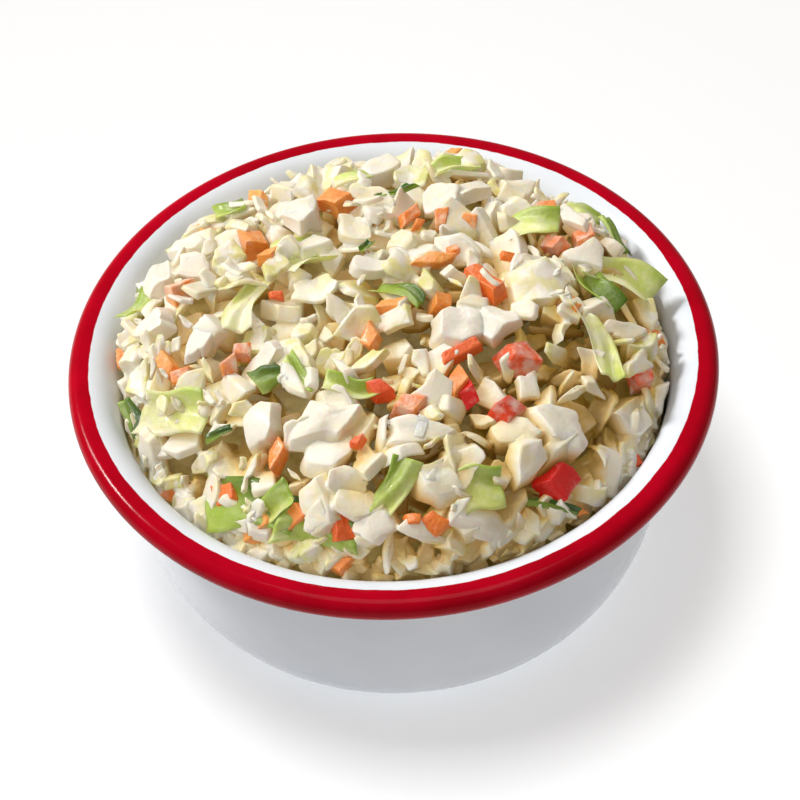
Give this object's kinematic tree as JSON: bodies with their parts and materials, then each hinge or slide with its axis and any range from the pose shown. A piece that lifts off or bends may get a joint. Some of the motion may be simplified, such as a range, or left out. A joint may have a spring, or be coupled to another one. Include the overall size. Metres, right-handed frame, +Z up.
{
  "type": "bowl of coleslaw",
  "caption": "Rounded heap of creamy chopped cabbage, carrot and green leaf, filling a small round white enamelled bowl with a flared lip and a red rolled rim.",
  "frame": {"origin": "centre of the bowl's flat base, which stands on the table", "axes": "+Z up; the serving view looks from -Y, with +X to its right"},
  "size_m": [0.12, 0.12, 0.0615],
  "materials": {
    "enamel": "glossy white vitreous enamel on pressed steel, with glossy red enamel on the rolled rim",
    "coleslaw": "moist creamy dressing over cream-white cabbage, orange carrot and green leaf; soft gloss, slightly translucent"
  },
  "bodies": {
    "root": {"bowl": "enamel", "coleslaw": "coleslaw"}
  },
  "joints": []
}
